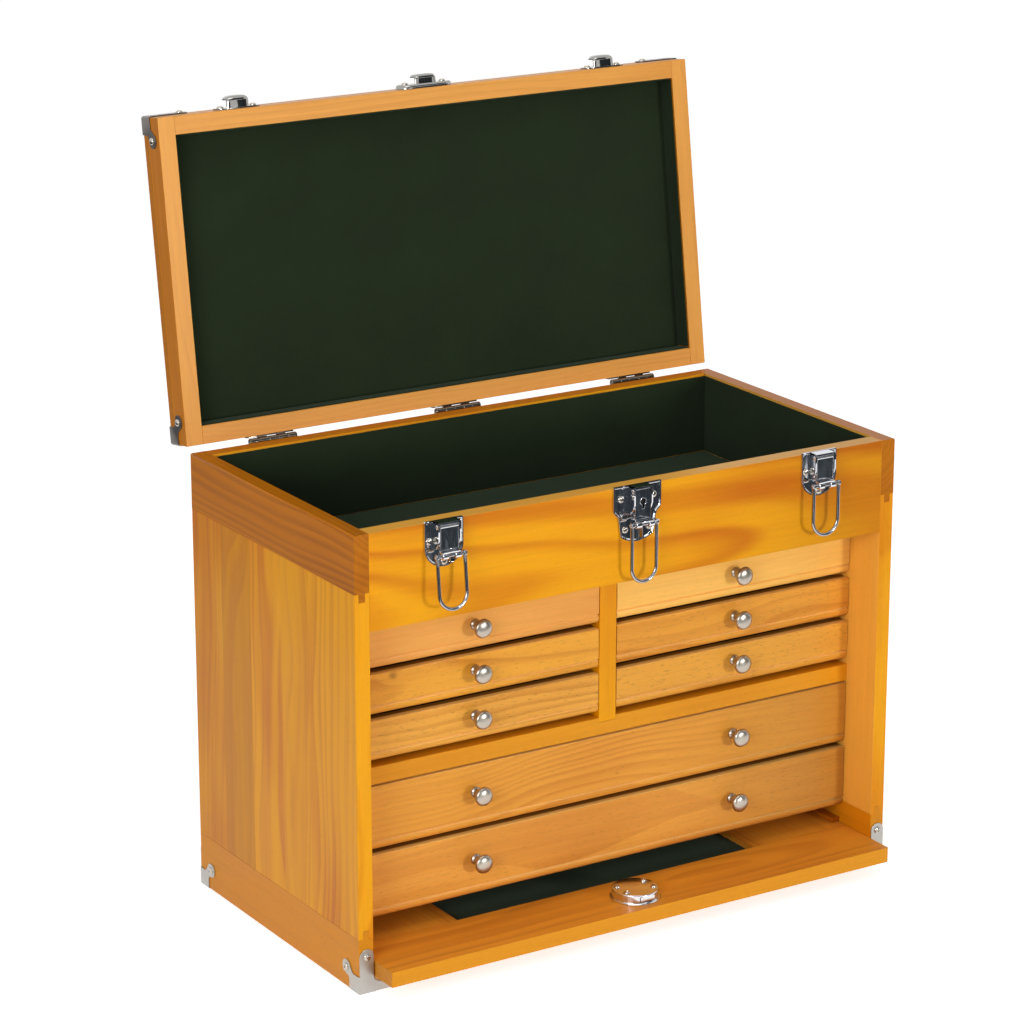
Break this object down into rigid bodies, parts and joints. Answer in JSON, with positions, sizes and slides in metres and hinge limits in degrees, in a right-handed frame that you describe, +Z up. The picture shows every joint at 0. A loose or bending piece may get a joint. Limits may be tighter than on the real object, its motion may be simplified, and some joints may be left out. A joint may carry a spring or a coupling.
{
  "type": "machinist toolbox",
  "caption": "Wooden machinist's chest: felt-lined top tray under a hinged lid, beaded drawers, a slide-away front panel with lock, draw latches and steel corner guards.",
  "frame": {"origin": "middle of the case's footprint, on the surface that it stands on", "axes": "+X to the chest's right as seen from the front, -Y towards the front with the drawers and latches, +Z up"},
  "size_m": [0.5154, 0.3641, 0.6513],
  "materials": {
    "case_wood": "varnished golden pine",
    "drawer_front_wood": "varnished pine, a little paler than the case",
    "panel_wood": "varnished golden pine",
    "inner_wood": "plain sealed pine",
    "green_felt": "dark green felt",
    "chrome": "bright chrome plate",
    "satin_nickel": "satin nickel",
    "guard_steel": "nickel-plated steel",
    "screw_steel": "nickel-plated steel",
    "hinge_steel": "plated steel"
  },
  "bodies": {
    "case": {"side_top_rails": "case_wood", "side_planks": "case_wood", "side_bottom_rails": "case_wood", "front_board": "case_wood", "back_board": "case_wood", "base_board": "case_wood", "tray_floor": "inner_wood", "centre_divider": "case_wood", "cross_shelf": "case_wood", "drawer_runners": "inner_wood", "tray_felt": "green_felt", "case_corner_guards": "guard_steel", "hinge_case_leaves": "hinge_steel", "hinge_pins": "hinge_steel", "latch_plates": "chrome", "case_screws": "screw_steel"},
    "lid": {"lid_rails": "case_wood", "lid_stiles": "case_wood", "lid_top_board": "case_wood", "lid_felt": "green_felt", "lid_catches": "chrome", "lid_corner_guards": "guard_steel", "lid_screws": "screw_steel", "hinge_lid_leaves": "hinge_steel"},
    "drawer_1": {"drawer_1_front": "drawer_front_wood", "drawer_1_box": "inner_wood", "drawer_1_knob": "satin_nickel"},
    "drawer_2": {"drawer_2_front": "drawer_front_wood", "drawer_2_box": "inner_wood", "drawer_2_knob": "satin_nickel"},
    "drawer_3": {"drawer_3_front": "drawer_front_wood", "drawer_3_box": "inner_wood", "drawer_3_knob": "satin_nickel"},
    "drawer_4": {"drawer_4_front": "drawer_front_wood", "drawer_4_box": "inner_wood", "drawer_4_knob": "satin_nickel"},
    "drawer_5": {"drawer_5_front": "drawer_front_wood", "drawer_5_box": "inner_wood", "drawer_5_knob": "satin_nickel"},
    "drawer_6": {"drawer_6_front": "drawer_front_wood", "drawer_6_box": "inner_wood", "drawer_6_knob": "satin_nickel"},
    "drawer_7": {"drawer_7_front": "drawer_front_wood", "drawer_7_box": "inner_wood", "drawer_7_knob": "satin_nickel"},
    "drawer_8": {"drawer_8_front": "drawer_front_wood", "drawer_8_box": "inner_wood", "drawer_8_knob": "satin_nickel"},
    "front_panel": {"panel_frame": "panel_wood", "panel_board": "inner_wood", "panel_felt": "green_felt", "panel_lock_case": "chrome"},
    "panel_bolt": {"panel_lock_bolt": "chrome"},
    "panel_plug": {"panel_lock_plug": "chrome"},
    "left_lever": {"left_latch_lever": "chrome"},
    "left_loop": {"left_latch_loop": "chrome"},
    "centre_lever": {"centre_latch_lever": "chrome"},
    "centre_loop": {"centre_latch_loop": "chrome"},
    "right_lever": {"right_latch_lever": "chrome"},
    "right_loop": {"right_latch_loop": "chrome"}
  },
  "joints": [
    {"name": "lid_hinge", "type": "hinge", "parent": "case", "child": "lid", "pos_m": [0, 0.1374, 0.37415], "axis": [1, 0, 0], "range_deg": [0, 98]},
    {"name": "drawer_1_slide", "type": "slide", "parent": "case", "child": "drawer_1", "axis": [0, -1, 0], "range_m": [0, 0.155]},
    {"name": "drawer_2_slide", "type": "slide", "parent": "case", "child": "drawer_2", "axis": [0, -1, 0], "range_m": [0, 0.155]},
    {"name": "drawer_3_slide", "type": "slide", "parent": "case", "child": "drawer_3", "axis": [0, -1, 0], "range_m": [0, 0.155]},
    {"name": "drawer_4_slide", "type": "slide", "parent": "case", "child": "drawer_4", "axis": [0, -1, 0], "range_m": [0, 0.155]},
    {"name": "drawer_5_slide", "type": "slide", "parent": "case", "child": "drawer_5", "axis": [0, -1, 0], "range_m": [0, 0.155]},
    {"name": "drawer_6_slide", "type": "slide", "parent": "case", "child": "drawer_6", "axis": [0, -1, 0], "range_m": [0, 0.155]},
    {"name": "drawer_7_slide", "type": "slide", "parent": "case", "child": "drawer_7", "axis": [0, -1, 0], "range_m": [0, 0.155]},
    {"name": "drawer_8_slide", "type": "slide", "parent": "case", "child": "drawer_8", "axis": [0, -1, 0], "range_m": [0, 0.155]},
    {"name": "front_panel_slide", "type": "slide", "parent": "case", "child": "front_panel", "axis": [0, -1, 0], "range_m": [0, 0.21]},
    {"name": "panel_plug_turn", "type": "hinge", "parent": "front_panel", "child": "panel_plug", "pos_m": [0.0025, -0.1336, 0.0196], "axis": [0, 0, 1], "range_deg": [0, 90]},
    {"name": "panel_bolt_slide", "type": "slide", "parent": "front_panel", "child": "panel_bolt", "axis": [0, -1, 0], "range_m": [0, 0.014]},
    {"name": "left_lever_hinge", "type": "hinge", "parent": "case", "child": "left_lever", "pos_m": [-0.177, -0.1413, 0.3725], "axis": [-1, 0, 0], "range_deg": [0, 100]},
    {"name": "left_loop_hinge", "type": "hinge", "parent": "left_lever", "child": "left_loop", "pos_m": [-0.177, -0.14485, 0.35], "axis": [1, 0, 0], "range_deg": [-183.6, 6]},
    {"name": "centre_lever_hinge", "type": "hinge", "parent": "case", "child": "centre_lever", "pos_m": [0, -0.1413, 0.3725], "axis": [-1, 0, 0], "range_deg": [0, 100]},
    {"name": "centre_loop_hinge", "type": "hinge", "parent": "centre_lever", "child": "centre_loop", "pos_m": [0, -0.14485, 0.346], "axis": [1, 0, 0], "range_deg": [-186.4, 0]},
    {"name": "right_lever_hinge", "type": "hinge", "parent": "case", "child": "right_lever", "pos_m": [0.177, -0.1413, 0.3725], "axis": [-1, 0, 0], "range_deg": [0, 100]},
    {"name": "right_loop_hinge", "type": "hinge", "parent": "right_lever", "child": "right_loop", "pos_m": [0.177, -0.14485, 0.35], "axis": [1, 0, 0], "range_deg": [-189.6, 0]}
  ],
  "couplings": [
    {"joint": "panel_bolt_slide", "follows": "panel_plug_turn", "m_per_rad": 0.0089127}
  ]
}
